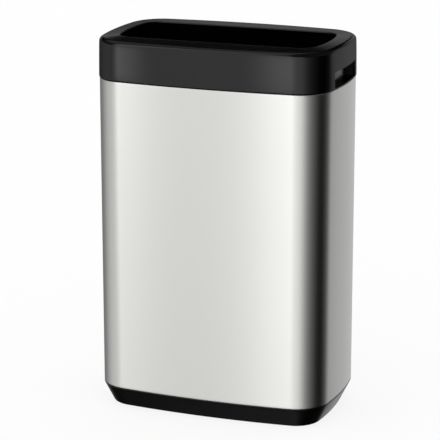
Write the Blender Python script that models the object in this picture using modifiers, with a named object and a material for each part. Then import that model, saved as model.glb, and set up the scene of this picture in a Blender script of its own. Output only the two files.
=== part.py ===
"""A free-standing waste bin of about 50 litres.

A sleeve of brushed steel stands on a moulded base with rubber feet. A moulded collar drops into the
sleeve's top, has a hand-hold at each end, and hides a hinged wire frame that holds the bag's rim.
Metres, +Z up. The origin is the middle of the footprint, on the floor. The front faces -Y.
"""

import math

import bmesh
import bpy
from mathutils import Matrix, Vector

# Whole object
HEIGHT = 0.640
GAP = 0.0003
OVERRUN = 0.002
MERGE_DISTANCE = 0.0001
SMOOTH_ANGLE = math.radians(35)

# Plan of the steel body, seen from above
BODY_WIDTH = 0.414
BODY_DEPTH = 0.250
BODY_CORNER = 0.060
BODY_FRONT_BOW = 0.015
BODY_SIDE_BOW = 0.016
FRONT_STEPS = 4
CORNER_STEPS = 8
SIDE_STEPS = 3
SCREW_SEGMENTS = 12
FOOT_SEGMENTS = 16
CLIP_SEGMENTS = 16

# Base pan: a deck with a sloped skirt, a rim that locates the sleeve, and ribs below
BASE_HEIGHT = 0.036
BASE_CLEARANCE = 0.0006
BASE_LAND = 0.002
BASE_EDGE = 0.0016
BASE_SLOPE = 0.0155
BASE_TOE = 0.003
TOE_LEAN_SHARE = 0.65
BASE_WALL = 0.003
RIM_WALL = 0.0025
RIM_HEIGHT = 0.0065
RIB_WALL = 0.0025
RIB_CLEARANCE = 0.006
RIB_BITE = 0.001
RIB_COLUMNS = 6
RIB_ROWS = 5

# Rubber feet pushed into bosses under the deck
FOOT_SIDE_INSET = 0.057
FOOT_FRONT_INSET = 0.055
FOOT_RADIUS = 0.012
FOOT_THICKNESS = 0.0032
FOOT_EDGE = 0.001
STEM_RADIUS = 0.004
STEM_LENGTH = 0.012
FOOT_BOSS_WALL = 0.005

# Steel sleeve: one sheet wrapped round, flanged inwards at both ends and joined at the back
SHEET = 0.0008
SHEET_BEND = 0.001
LOW_FLANGE = 0.030
TOP_FLANGE = 0.010
TOP_LIP = 0.008
SEAM_SLIT = 0.0005
SEAM_STRIP_WIDTH = 0.030
SEAM_STRIP_THICKNESS = 0.001

# Screws that hold the sleeve's lower flange to the deck
BASE_SCREW_INSET = 0.0245
BASE_SCREW_SPREAD = 0.095
BASE_SCREW_SHANK = 0.0021
BASE_SCREW_HEAD = 0.0055
BASE_SCREW_HEAD_HEIGHT = 0.003
BASE_SCREW_TIP = 0.004

# Collar: outer wall, flat rim, throat round the mouth, and a skirt that plugs into the sleeve
COLLAR_HEIGHT = 0.069
COLLAR_PROUD = 0.001
COLLAR_WALL = 0.0025
COLLAR_FOOT_RADIUS = 0.002
SHOULDER_RADIUS = 0.0073
LIP_RADIUS = 0.003
RIM_FRONT_WIDTH = 0.0465
RIM_END_WIDTH = 0.0303
MOUTH_CORNER = 0.0275
MOUTH_FRONT_BOW = 0.003
MOUTH_SIDE_BOW = 0.011
THROAT_DEPTH = 0.073
THROAT_DRAFT = 0.001
SKIRT_DEPTH = 0.023
SKIRT_DRAFT = 0.0005
SKIRT_CLEARANCE = 0.0005

# Hand-holds: a slot in each end wall, with a moulded cup behind it that stands on the ledge
SLOT_LENGTH = 0.112
SLOT_REACH = 0.029
SLOT_LIP = 0.0029
SLOT_CORNER = 0.003
CUP_WALL = 0.0025
CUP_DEPTH = 0.0118
CUP_BACK_LENGTH = 0.088
CUP_FLANGE = 0.004
CUP_UNDERCUT = 0.003
SLOT_STEPS = 6
SLOT_CORNER_STEPS = 3

# Wire frame for the bag, with its clips under the collar
WIRE_RADIUS = 0.0025
FRAME_END_INSET = 0.027
FRAME_FRONT_INSET = 0.037
FRAME_CORNER = 0.045
FRAME_DROP = 0.006
FRAME_STEPS = 6
CLIP_SPREAD = 0.090
CLIP_LENGTH = 0.018
CLIP_WALL = 0.002
CLIP_MOUTH = 0.0044
PAD_THICKNESS = 0.004
PAD_RISE = 0.0052
PAD_MARGIN = 0.005
CLIP_SCREW_REACH = 0.0125
CLIP_SCREW_SHANK = 0.0015
CLIP_SCREW_HEAD = 0.0035
CLIP_SCREW_HEAD_HEIGHT = 0.0022
CLIP_SCREW_BITE = 0.009
BOSS_HEIGHT = 0.014
BOSS_MARGIN = 0.0015
BOSS_BITE = 0.0005

# Levels and places worked out from the sizes above
HALF_WIDTH = BODY_WIDTH / 2
HALF_DEPTH = BODY_DEPTH / 2
DECK_LOW = BASE_HEIGHT - BASE_WALL
SLEEVE_LOW = BASE_HEIGHT + GAP
COLLAR_LOW = HEIGHT - COLLAR_HEIGHT
SLEEVE_TOP = COLLAR_LOW - GAP
LEDGE_TOP = COLLAR_LOW + COLLAR_WALL
SKIRT_INSET = TOP_FLANGE + SKIRT_CLEARANCE
THROAT_LOW = HEIGHT - THROAT_DEPTH
SLOT_LOW = COLLAR_LOW + SLOT_LIP
SLOT_TOP = COLLAR_LOW + SLOT_REACH
FRAME_LEVEL = COLLAR_LOW - FRAME_DROP
FRAME_HALF_WIDTH = HALF_WIDTH - FRAME_END_INSET
FRAME_HALF_DEPTH = HALF_DEPTH - FRAME_FRONT_INSET
CLIP_BORE = WIRE_RADIUS + GAP
CLIP_RADIUS = CLIP_BORE + CLIP_WALL
SIDES = {"left": -1, "right": 1}
ENDS = {"front": -1, "rear": 1}


def circle_crossing(centre_a, radius_a, centre_b, radius_b):
    """The point, of the two where the circles meet, that lies furthest to the front right."""
    across = centre_b - centre_a
    along = (radius_a**2 - radius_b**2 + across.length_squared) / (2 * across.length)
    height = math.sqrt(radius_a**2 - along**2)
    unit = across.normalized()
    middle = centre_a + unit * along
    normal = Vector((-unit.y, unit.x))
    return max((middle + normal * height, middle - normal * height), key=lambda point: point.x - point.y)


def arc(centre, radius, start, end, steps):
    """Points along an arc, without its last one."""
    angles = (start + (end - start) * step / steps for step in range(steps))
    return [centre + Vector((math.cos(angle), math.sin(angle))) * radius for angle in angles]


class Plan:
    """A closed plan with three tangent arcs in each quarter: bowed front, round corner, bowed side."""

    def __init__(self, half_width, half_depth, corner, front_bow, side_bow):
        self.half_width = half_width
        self.half_depth = half_depth
        self.corner = corner
        self.front_radius = (half_width**2 + front_bow**2) / (2 * front_bow)
        self.side_radius = (half_depth**2 + side_bow**2) / (2 * side_bow)
        self.front_centre = Vector((0, self.front_radius - half_depth))
        self.side_centre = Vector((half_width - self.side_radius, 0))
        self.corner_centre = circle_crossing(
            self.front_centre, self.front_radius - corner, self.side_centre, self.side_radius - corner
        )

    def depth_at(self, x, inset):
        """How far the front or back stands from the middle at this x."""
        radius = self.front_radius - inset
        return math.sqrt(radius**2 - x**2) - (self.front_radius - self.half_depth)

    def side_at(self, y, inset):
        """How far an end stands from the middle at this y, along its bow and on round its corner."""
        from_side = self.corner_centre - self.side_centre
        bow_radius = self.side_radius - inset
        if abs(y) <= abs(from_side.y) / from_side.length * bow_radius:
            return self.side_centre.x + math.sqrt(bow_radius**2 - y**2)
        past = abs(y) - abs(self.corner_centre.y)
        return self.corner_centre.x + math.sqrt((self.corner - inset) ** 2 - past**2)

    def quarter(self, inset):
        """Points from the middle of the front to the middle of the right side."""
        to_corner = self.corner_centre - self.front_centre
        from_side = self.corner_centre - self.side_centre
        front_end = math.atan2(to_corner.y, to_corner.x)
        side_start = math.atan2(from_side.y, from_side.x)
        points = arc(self.front_centre, self.front_radius - inset, -math.pi / 2, front_end, FRONT_STEPS)
        points += arc(self.corner_centre, self.corner - inset, front_end, side_start, CORNER_STEPS)
        points += arc(self.side_centre, self.side_radius - inset, side_start, 0, SIDE_STEPS)
        return points + [Vector((self.half_width - inset, 0))]

    def loop(self, inset, height):
        """The whole plan, moved inwards by inset, as points at one height."""
        front = self.quarter(inset)
        half = front + [Vector((point.x, -point.y)) for point in front[-2::-1]]
        whole = half + [Vector((-point.x, point.y)) for point in half[-2:0:-1]]
        return [Vector((point.x, point.y, height)) for point in whole]


BODY = Plan(HALF_WIDTH, HALF_DEPTH, BODY_CORNER, BODY_FRONT_BOW, BODY_SIDE_BOW)
MOUTH = Plan(
    HALF_WIDTH - RIM_END_WIDTH,
    HALF_DEPTH - RIM_FRONT_WIDTH,
    MOUTH_CORNER,
    MOUTH_FRONT_BOW,
    MOUTH_SIDE_BOW,
)


def material(name, colour, roughness, metallic=0.0):
    made = bpy.data.materials.new(name)
    made.use_nodes = True
    shader = made.node_tree.nodes["Principled BSDF"]
    shader.inputs["Base Color"].default_value = (*colour, 1.0)
    shader.inputs["Roughness"].default_value = roughness
    shader.inputs["Metallic"].default_value = metallic
    made.diffuse_color = (*colour, 1.0)
    return made


def object_from(name, mesh_data, finish, collection, location=(0, 0, 0)):
    """One named object that holds this bmesh."""
    bmesh.ops.recalc_face_normals(mesh_data, faces=mesh_data.faces)
    mesh = bpy.data.meshes.new(name)
    mesh_data.to_mesh(mesh)
    mesh_data.free()
    mesh.shade_smooth()
    mesh.set_sharp_from_angle(angle=SMOOTH_ANGLE)
    if finish:
        mesh.materials.append(finish)
    made = bpy.data.objects.new(name, mesh)
    made.location = location
    collection.objects.link(made)
    return made


def guide(name, mesh_data, location=(0, 0, 0)):
    """A shape that only cuts, trims or joins another, and is no piece of its own."""
    made = object_from(name, mesh_data, None, tools, location)
    made.hide_render = True
    made.display_type = "WIRE"
    return made


def combine(target, tool, operation):
    modifier = target.modifiers.new(f"{operation.lower()} {tool.name}", "BOOLEAN")
    modifier.object = tool
    modifier.operation = operation


def loft(loops, closed):
    """A skin through matching loops: closed back onto the first, or capped at both ends."""
    made = bmesh.new()
    rows = [[made.verts.new(point) for point in loop] for loop in loops]
    pairs = list(zip(rows, rows[1:]))
    if closed:
        pairs.append((rows[-1], rows[0]))
    else:
        made.faces.new(rows[0])
        made.faces.new(rows[-1])
    for row, following in pairs:
        for index, vertex in enumerate(row):
            before = index - 1
            made.faces.new((row[before], vertex, following[index], following[before]))
    return made


def body_loops(sections):
    return [BODY.loop(inset, height) for inset, height in sections]


def round_section(centre_inset, centre_height, radius, start, end, steps):
    """Inset and height along a rounded edge; 180 degrees points outwards and 90 upwards."""
    angles = (math.radians(start + (end - start) * step / steps) for step in range(steps + 1))
    return [
        (centre_inset + radius * math.cos(angle), centre_height + radius * math.sin(angle))
        for angle in angles
    ]


def add_box(mesh_data, low, high):
    """A box between two corners, added to a bmesh."""
    size = Vector(high) - Vector(low)
    middle = (Vector(high) + Vector(low)) / 2
    place = Matrix.Translation(middle) @ Matrix.Diagonal((*size, 1))
    bmesh.ops.create_cube(mesh_data, size=1, matrix=place)


def add_cylinder(mesh_data, radius, low, high, place, segments):
    """An upright cylinder from low to high at (x, y), added to a bmesh."""
    centre = Matrix.Translation((*place, (low + high) / 2))
    bmesh.ops.create_cone(
        mesh_data,
        cap_ends=True,
        segments=segments,
        radius1=radius,
        radius2=radius,
        depth=high - low,
        matrix=centre,
    )


def turned(name, profile, finish, location, steps):
    """A turned piece: the profile runs down its outer side, from the axis to the axis."""
    made = bmesh.new()
    points = [made.verts.new((radius, 0, height)) for radius, height in profile]
    for upper, lower in zip(points, points[1:]):
        made.edges.new((upper, lower))
    piece = object_from(name, made, finish, parts, location)
    screw = piece.modifiers.new("turn", "SCREW")
    screw.axis = "Z"
    screw.steps = steps
    screw.render_steps = steps
    screw.use_merge_vertices = True
    screw.merge_threshold = MERGE_DISTANCE
    return piece


def carried_by(empty, piece):
    """Parents a piece to an empty and keeps its place in the world."""
    piece.parent = empty
    piece.matrix_parent_inverse = Matrix.Translation(-empty.location)


def base_screw_places():
    """Name and (x, y) of each screw that holds the sleeve down."""
    places = {}
    reach = BODY.depth_at(BASE_SCREW_SPREAD, BASE_SCREW_INSET)
    for end, toward in ENDS.items():
        for side, across in SIDES.items():
            places[f"base_screw_{end}_{side}"] = (across * BASE_SCREW_SPREAD, toward * reach)
    for side, across in SIDES.items():
        places[f"base_screw_{side}"] = (across * (HALF_WIDTH - BASE_SCREW_INSET), 0)
    return places


def foot_places():
    """Name and (x, y) of each foot."""
    return {
        f"foot_{end}_{side}": (
            across * (HALF_WIDTH - FOOT_SIDE_INSET),
            toward * (HALF_DEPTH - FOOT_FRONT_INSET),
        )
        for end, toward in ENDS.items()
        for side, across in SIDES.items()
    }


def clip_places():
    """End, side and (x, y) of each clip, on the wire's own centre line."""
    return [
        (end, side, (across * CLIP_SPREAD, toward * FRAME_HALF_DEPTH), toward)
        for end, toward in ENDS.items()
        for side, across in SIDES.items()
    ]


def base_screw_holes():
    """One drill for each base screw, through the deck and the flange on it."""
    made = bmesh.new()
    top = SLEEVE_LOW + SHEET + OVERRUN
    for place in base_screw_places().values():
        add_cylinder(made, BASE_SCREW_SHANK + GAP, DECK_LOW - OVERRUN, top, place, SCREW_SEGMENTS)
    return guide("base_screw_holes", made)


def skirt_sections():
    """Inset and height down the outside of the base's skirt and up its inside."""
    slope_top = BASE_HEIGHT - BASE_LAND
    slope_low = BASE_CLEARANCE + BASE_TOE
    down = Vector((BASE_SLOPE, slope_low - slope_top))
    inward = Vector((-down.y, down.x)).normalized() * BASE_WALL
    inner_low = Vector((BASE_SLOPE, slope_low)) + inward
    inner_top = inner_low.x - down.x * (DECK_LOW - inner_low.y) / -down.y
    toe = BASE_SLOPE + BASE_TOE * TOE_LEAN_SHARE
    return [
        (BASE_EDGE, BASE_HEIGHT),
        (0, BASE_HEIGHT - BASE_EDGE),
        (0, slope_top),
        (BASE_SLOPE, slope_low),
        (toe, BASE_CLEARANCE),
        (toe + BASE_WALL, BASE_CLEARANCE),
        (inner_low.x, inner_low.y),
        (inner_top, DECK_LOW),
    ]


def rib_guides():
    """The two sets of ribs under the deck, trimmed to end inside the skirt's wall."""
    inner = skirt_sections()[-2:]
    plug = guide(
        "underside_space",
        loft(body_loops([(inset - RIB_BITE, height) for inset, height in inner]), closed=False),
    )
    room = inner[-1][0]
    low = BASE_CLEARANCE + RIB_CLEARANCE
    high = DECK_LOW + RIB_BITE
    half_x = HALF_WIDTH - room
    half_y = HALF_DEPTH - room
    columns = bmesh.new()
    for index in range(1, RIB_COLUMNS):
        x = half_x * (2 * index / RIB_COLUMNS - 1)
        add_box(columns, (x - RIB_WALL / 2, -HALF_DEPTH, low), (x + RIB_WALL / 2, HALF_DEPTH, high))
    rows = bmesh.new()
    for index in range(1, RIB_ROWS):
        y = half_y * (2 * index / RIB_ROWS - 1)
        add_box(rows, (-HALF_WIDTH, y - RIB_WALL / 2, low), (HALF_WIDTH, y + RIB_WALL / 2, high))
    return plug, guide("rib_columns", columns), guide("rib_rows", rows)


def make_base_pan(finish):
    """The moulded base: rim and deck, sloped skirt, ribs, and a boss for each foot."""
    rim_inset = LOW_FLANGE + GAP + SKIRT_CLEARANCE
    rim_top = BASE_HEIGHT + RIM_HEIGHT
    sections = [
        (rim_inset + RIM_WALL, BASE_HEIGHT),
        (rim_inset + RIM_WALL, rim_top),
        (rim_inset, rim_top),
        (rim_inset, BASE_HEIGHT),
        *skirt_sections(),
    ]
    pan = object_from("base_pan", loft(body_loops(sections), closed=False), finish, parts)
    plug, columns, rows = rib_guides()
    bosses = bmesh.new()
    sockets = bmesh.new()
    boss_low = FOOT_THICKNESS + GAP
    socket_top = FOOT_THICKNESS + STEM_LENGTH + FOOT_EDGE
    boss_radius = STEM_RADIUS + FOOT_BOSS_WALL
    for place in foot_places().values():
        add_cylinder(bosses, boss_radius, boss_low, DECK_LOW + RIB_BITE, place, FOOT_SEGMENTS)
        add_cylinder(sockets, STEM_RADIUS + GAP, 0, socket_top, place, FOOT_SEGMENTS)
    for ribs in (columns, rows):
        combine(ribs, plug, "INTERSECT")
        combine(pan, ribs, "UNION")
    combine(pan, guide("foot_bosses", bosses), "UNION")
    combine(pan, guide("foot_sockets", sockets), "DIFFERENCE")
    combine(pan, screw_holes, "DIFFERENCE")


def make_feet(finish):
    profile = [
        (0, FOOT_THICKNESS + STEM_LENGTH),
        (STEM_RADIUS, FOOT_THICKNESS + STEM_LENGTH),
        (STEM_RADIUS, FOOT_THICKNESS),
        (FOOT_RADIUS, FOOT_THICKNESS),
        (FOOT_RADIUS, FOOT_EDGE),
        (FOOT_RADIUS - FOOT_EDGE, 0),
        (0, 0),
    ]
    for name, place in foot_places().items():
        turned(name, profile, finish, (*place, 0), FOOT_SEGMENTS)


def make_sleeve(finish):
    """The wrapped steel sheet with its flanges, slit at the back where its two ends meet."""
    low = SLEEVE_LOW
    top = SLEEVE_TOP
    bend = SHEET_BEND
    lip_low = top - TOP_LIP
    lip_inset = TOP_FLANGE - SHEET
    sections = [
        (LOW_FLANGE, low),
        *round_section(bend, low + bend, bend, 270, 180, 2),
        *round_section(bend, top - bend, bend, 180, 90, 2),
        (TOP_FLANGE, top),
        (TOP_FLANGE, lip_low),
        (lip_inset, lip_low),
        (lip_inset, top - SHEET),
        (bend, top - SHEET),
        (SHEET, top - bend),
        (SHEET, low + bend),
        (bend, low + SHEET),
        (LOW_FLANGE, low + SHEET),
    ]
    sleeve = object_from("steel_sleeve", loft(body_loops(sections), closed=True), finish, parts)
    slit = bmesh.new()
    inner = HALF_DEPTH - LOW_FLANGE - OVERRUN
    add_box(
        slit,
        (-SEAM_SLIT / 2, inner, low - OVERRUN),
        (SEAM_SLIT / 2, HALF_DEPTH + OVERRUN, top + OVERRUN),
    )
    combine(sleeve, guide("seam_slit", slit), "DIFFERENCE")
    combine(sleeve, screw_holes, "DIFFERENCE")


def make_seam_strip(finish):
    """The flat strip inside the back, spot welded across the two ends of the sheet."""
    strip = bmesh.new()
    half = SEAM_STRIP_WIDTH / 2
    outer = BODY.depth_at(half, SHEET) - GAP
    add_box(
        strip,
        (-half, outer - SEAM_STRIP_THICKNESS, SLEEVE_LOW + SHEET_BEND + GAP),
        (half, outer, SLEEVE_TOP - SHEET_BEND - GAP),
    )
    object_from("seam_strip", strip, finish, parts)


def make_base_screws(finish):
    head_top = DECK_LOW - GAP
    crown = BASE_SCREW_HEAD_HEIGHT / 3
    tip = SLEEVE_LOW + SHEET + BASE_SCREW_TIP - head_top
    profile = [
        (0, tip),
        (BASE_SCREW_SHANK / 2, tip),
        (BASE_SCREW_SHANK, tip - BASE_SCREW_SHANK),
        (BASE_SCREW_SHANK, 0),
        (BASE_SCREW_HEAD, 0),
        (BASE_SCREW_HEAD, crown - BASE_SCREW_HEAD_HEIGHT),
        (BASE_SCREW_HEAD - crown, -BASE_SCREW_HEAD_HEIGHT),
        (0, -BASE_SCREW_HEAD_HEIGHT),
    ]
    for name, place in base_screw_places().items():
        turned(name, profile, finish, (*place, head_top), SCREW_SEGMENTS)


def collar_sections():
    """Loops of the collar's wall: up the outside, over the rim, down the throat and back."""
    foot = COLLAR_FOOT_RADIUS
    shoulder = HEIGHT - SHOULDER_RADIUS
    plate_low = HEIGHT - COLLAR_WALL
    outside = [
        *round_section(foot - COLLAR_PROUD, COLLAR_LOW + foot, foot, 270, 180, 2),
        *round_section(SHOULDER_RADIUS, shoulder, SHOULDER_RADIUS, 180, 90, 5),
    ]
    lip_points = round_section(LIP_RADIUS, HEIGHT - LIP_RADIUS, LIP_RADIUS, 90, 180, 3)
    throat = [
        *lip_points,
        (-THROAT_DRAFT, THROAT_LOW),
        (COLLAR_WALL - THROAT_DRAFT, THROAT_LOW),
        (COLLAR_WALL, plate_low),
    ]
    inner_radius = SHOULDER_RADIUS - COLLAR_WALL
    inside = [
        *round_section(SHOULDER_RADIUS, shoulder, inner_radius, 90, 180, 2),
        (COLLAR_WALL - COLLAR_PROUD, LEDGE_TOP),
        (SKIRT_INSET + COLLAR_WALL, LEDGE_TOP),
        (SKIRT_INSET + COLLAR_WALL + SKIRT_DRAFT, COLLAR_LOW - SKIRT_DEPTH),
        (SKIRT_INSET + SKIRT_DRAFT, COLLAR_LOW - SKIRT_DEPTH),
        (SKIRT_INSET, COLLAR_LOW),
    ]
    mouth = [MOUTH.loop(-outset, height) for outset, height in throat]
    return body_loops(outside) + mouth + body_loops(inside)


def clip_bosses():
    """The four blocks under the ledge that the clips are screwed up into."""
    made = bmesh.new()
    half = CLIP_LENGTH / 2
    low = FRAME_LEVEL + PAD_RISE + GAP
    for _, _, (x, y), toward in clip_places():
        near = y + toward * PAD_MARGIN
        far = toward * BODY.depth_at(abs(x) + half, SKIRT_INSET + BOSS_BITE)
        add_box(made, (x - half, min(near, far), low), (x + half, max(near, far), low + BOSS_HEIGHT))
    return guide("clip_bosses", made)


def clip_pilot_holes():
    made = bmesh.new()
    low = FRAME_LEVEL + PAD_RISE - OVERRUN
    for _, _, (x, y), toward in clip_places():
        place = (x, y + toward * CLIP_SCREW_REACH)
        top = FRAME_LEVEL + PAD_RISE + CLIP_SCREW_BITE + BOSS_MARGIN
        add_cylinder(made, CLIP_SCREW_SHANK + GAP, low, top, place, SCREW_SEGMENTS)
    return guide("clip_pilot_holes", made)


def hand_loop(across, depth, half, low, high):
    """A round-cornered outline on the end wall, sunk by depth and bowed as the wall is."""
    run = half - SLOT_CORNER
    top = high - SLOT_CORNER
    bottom = low + SLOT_CORNER
    outline = []
    for y, level, start in ((run, top, 0), (-run, top, 90), (-run, bottom, 180), (run, bottom, 270)):
        centre = Vector((y, level))
        first = math.radians(start)
        last = first + math.pi / 2
        outline += arc(centre, SLOT_CORNER, first, last, SLOT_CORNER_STEPS)
        if y * math.cos(first) > 0:
            edge = level + SLOT_CORNER * math.sin(last)
            outline += [Vector((y - 2 * y * step / SLOT_STEPS, edge)) for step in range(SLOT_STEPS)]
        else:
            outline.append(centre + Vector((math.cos(last), math.sin(last))) * SLOT_CORNER)
    return [Vector((across * BODY.side_at(y, depth), y, level)) for y, level in outline]


def bowed_loft(loops):
    """A capped skin through bowed loops, in triangles because its caps aren't flat."""
    made = loft(loops, closed=False)
    bmesh.ops.triangulate(made, faces=made.faces)
    return made


def slot_room(across):
    """The space cut through the end wall."""
    half = SLOT_LENGTH / 2
    depths = (-COLLAR_PROUD - OVERRUN, COLLAR_WALL)
    return bowed_loft([hand_loop(across, depth, half, SLOT_LOW, SLOT_TOP) for depth in depths])


def cup_room(across):
    """The space cut in the cup: open to the slot and to the ledge, and higher than the slot."""
    low = LEDGE_TOP - SLOT_CORNER - OVERRUN
    high = SLOT_TOP + CUP_UNDERCUT
    return bowed_loft([
        hand_loop(across, -COLLAR_PROUD - OVERRUN, SLOT_LENGTH / 2, low, high),
        hand_loop(across, CUP_DEPTH, CUP_BACK_LENGTH / 2, low, high),
    ])


def make_collar(finish):
    shell = object_from("collar", loft(collar_sections(), closed=True), finish, parts)
    combine(shell, clip_bosses(), "UNION")
    combine(shell, clip_pilot_holes(), "DIFFERENCE")
    for side, across in SIDES.items():
        combine(shell, guide(f"hand_slot_{side}", slot_room(across)), "DIFFERENCE")
    carried_by(collar_lift, shell)


def make_hand_cups(finish):
    """The pocket behind each slot: back, ends, and a roof to hook the fingers under."""
    face = COLLAR_WALL - COLLAR_PROUD / 2 + GAP
    roof = SLOT_TOP + CUP_UNDERCUT + CUP_WALL
    front_half = SLOT_LENGTH / 2 + CUP_FLANGE
    back_half = CUP_BACK_LENGTH / 2 + CUP_FLANGE
    for side, across in SIDES.items():
        block = [
            hand_loop(across, face, front_half, LEDGE_TOP + GAP, roof),
            hand_loop(across, CUP_DEPTH + CUP_WALL, back_half, LEDGE_TOP + GAP, roof),
        ]
        cup = object_from(f"hand_cup_{side}", bowed_loft(block), finish, parts)
        combine(cup, guide(f"hand_pocket_{side}", cup_room(across)), "DIFFERENCE")
        carried_by(collar_lift, cup)


def clip_shape(toward, opens_down):
    """A ring round the wire with a screw pad beside it, before its bore and mouth are cut."""
    ring = bmesh.new()
    half = CLIP_LENGTH / 2
    turn = Matrix.Rotation(math.pi / 2, 4, "Y")
    bmesh.ops.create_cone(
        ring, cap_ends=True, segments=CLIP_SEGMENTS, radius1=CLIP_RADIUS, radius2=CLIP_RADIUS,
        depth=CLIP_LENGTH, matrix=turn,
    )
    pad = bmesh.new()
    near = toward * CLIP_BORE / 2
    far = toward * (CLIP_SCREW_REACH + CLIP_SCREW_HEAD + BOSS_MARGIN)
    add_box(
        pad,
        (-half, min(near, far), PAD_RISE - PAD_THICKNESS),
        (half, max(near, far), PAD_RISE),
    )
    bore = bmesh.new()
    bmesh.ops.create_cone(
        bore, cap_ends=True, segments=CLIP_SEGMENTS, radius1=CLIP_BORE, radius2=CLIP_BORE,
        depth=CLIP_LENGTH + OVERRUN, matrix=turn,
    )
    opening = bmesh.new()
    past = CLIP_RADIUS + OVERRUN
    wide = half + OVERRUN
    if opens_down:
        add_box(opening, (-wide, -CLIP_BORE, -past), (wide, CLIP_BORE, 0))
    else:
        inward = -toward * past
        add_box(
            opening,
            (-wide, min(0, inward), -CLIP_MOUTH / 2),
            (wide, max(0, inward), CLIP_MOUTH / 2),
        )
    return ring, pad, bore, opening


def make_clips(finish, screw_finish):
    """Hinge clips at the rear and catches at the front, each with the screw that holds it up."""
    roles = {"rear": "frame_pivot", "front": "frame_catch"}
    pad_low = PAD_RISE - PAD_THICKNESS
    bite = PAD_THICKNESS + CLIP_SCREW_BITE
    crown = CLIP_SCREW_HEAD_HEIGHT / 3
    profile = [
        (0, bite),
        (CLIP_SCREW_SHANK / 2, bite),
        (CLIP_SCREW_SHANK, bite - CLIP_SCREW_SHANK),
        (CLIP_SCREW_SHANK, 0),
        (CLIP_SCREW_HEAD, 0),
        (CLIP_SCREW_HEAD, crown - CLIP_SCREW_HEAD_HEIGHT),
        (CLIP_SCREW_HEAD - crown, -CLIP_SCREW_HEAD_HEIGHT),
        (0, -CLIP_SCREW_HEAD_HEIGHT),
    ]
    for end, side, (x, y), toward in clip_places():
        place = (x, y, FRAME_LEVEL)
        ring, pad, bore, opening = clip_shape(toward, opens_down=end == "front")
        name = f"{roles[end]}_{side}"
        clip = object_from(name, ring, finish, parts, place)
        combine(clip, guide(f"{name}_pad", pad, place), "UNION")
        combine(clip, guide(f"{name}_bore", bore, place), "DIFFERENCE")
        combine(clip, guide(f"{name}_mouth", opening, place), "DIFFERENCE")
        drill = bmesh.new()
        reach = (0, toward * CLIP_SCREW_REACH)
        add_cylinder(
            drill, CLIP_SCREW_SHANK + GAP, pad_low - OVERRUN, PAD_RISE + OVERRUN, reach, SCREW_SEGMENTS
        )
        combine(clip, guide(f"{name}_drill", drill, place), "DIFFERENCE")
        carried_by(collar_lift, clip)
        under = (x, y + toward * CLIP_SCREW_REACH, FRAME_LEVEL + pad_low - GAP)
        screw = turned(f"clip_screw_{end}_{side}", profile, screw_finish, under, SCREW_SEGMENTS)
        carried_by(collar_lift, screw)


def make_bag_frame(finish):
    """The bent wire loop, hinged on its own straight rear bar."""
    corner_x = FRAME_HALF_WIDTH - FRAME_CORNER
    corner_y = FRAME_HALF_DEPTH - FRAME_CORNER
    points = []
    quarters = [(1, -1, -90), (1, 1, 0), (-1, 1, 90), (-1, -1, 180)]
    for across, toward, start in quarters:
        centre = Vector((across * corner_x, toward * corner_y - FRAME_HALF_DEPTH))
        first = math.radians(start)
        points += arc(centre, FRAME_CORNER, first, first + math.pi / 2, FRAME_STEPS)
        last = first + math.pi / 2
        points.append(centre + Vector((math.cos(last), math.sin(last))) * FRAME_CORNER)
    curve = bpy.data.curves.new("bag_frame", "CURVE")
    curve.dimensions = "3D"
    curve.bevel_depth = WIRE_RADIUS
    curve.bevel_resolution = 2
    spline = curve.splines.new("POLY")
    spline.points.add(len(points) - 1)
    for held, point in zip(spline.points, points):
        held.co = (point.x, point.y, 0, 1)
    spline.use_cyclic_u = True
    curve.materials.append(finish)
    wire = bpy.data.objects.new("bag_frame", curve)
    wire.location = (0, FRAME_HALF_DEPTH, FRAME_LEVEL)
    parts.objects.link(wire)
    carried_by(frame_hinge, wire)


def axis_empty(name, place, parent=None):
    made = bpy.data.objects.new(name, None)
    made.location = place
    parts.objects.link(made)
    if parent:
        carried_by(parent, made)
    return made


for left_over in list(bpy.data.objects):
    bpy.data.objects.remove(left_over, do_unlink=True)

parts = bpy.data.collections.new("waste_bin")
tools = bpy.data.collections.new("cutters_and_guides")
bpy.context.scene.collection.children.link(parts)
bpy.context.scene.collection.children.link(tools)

collar_lift = axis_empty("collar_lift", Vector((0, 0, COLLAR_LOW)))
frame_hinge = axis_empty("frame_hinge", Vector((0, FRAME_HALF_DEPTH, FRAME_LEVEL)))
carried_by(collar_lift, frame_hinge)

brushed_steel = material("brushed_steel", (0.66, 0.66, 0.63), 0.32, 1.0)
plated_steel = material("plated_steel", (0.60, 0.60, 0.58), 0.35, 1.0)
zinc_screw = material("zinc_screw", (0.55, 0.55, 0.53), 0.4, 1.0)
base_plastic = material("base_plastic", (0.012, 0.012, 0.013), 0.45)
collar_plastic = material("collar_plastic", (0.018, 0.018, 0.019), 0.38)
cup_plastic = material("cup_plastic", (0.010, 0.010, 0.011), 0.5)
clip_plastic = material("clip_plastic", (0.05, 0.05, 0.052), 0.4)
foot_rubber = material("foot_rubber", (0.02, 0.02, 0.02), 0.8)
bright_wire = material("bright_wire", (0.62, 0.62, 0.60), 0.25, 1.0)

screw_holes = base_screw_holes()
make_base_pan(base_plastic)
make_feet(foot_rubber)
make_sleeve(brushed_steel)
make_seam_strip(plated_steel)
make_base_screws(zinc_screw)
make_collar(collar_plastic)
make_hand_cups(cup_plastic)
make_clips(clip_plastic, zinc_screw)
make_bag_frame(bright_wire)
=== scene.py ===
"""A free-standing waste bin: steel sleeve, black base and collar, and a wire frame for the bag."""

import math

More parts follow.
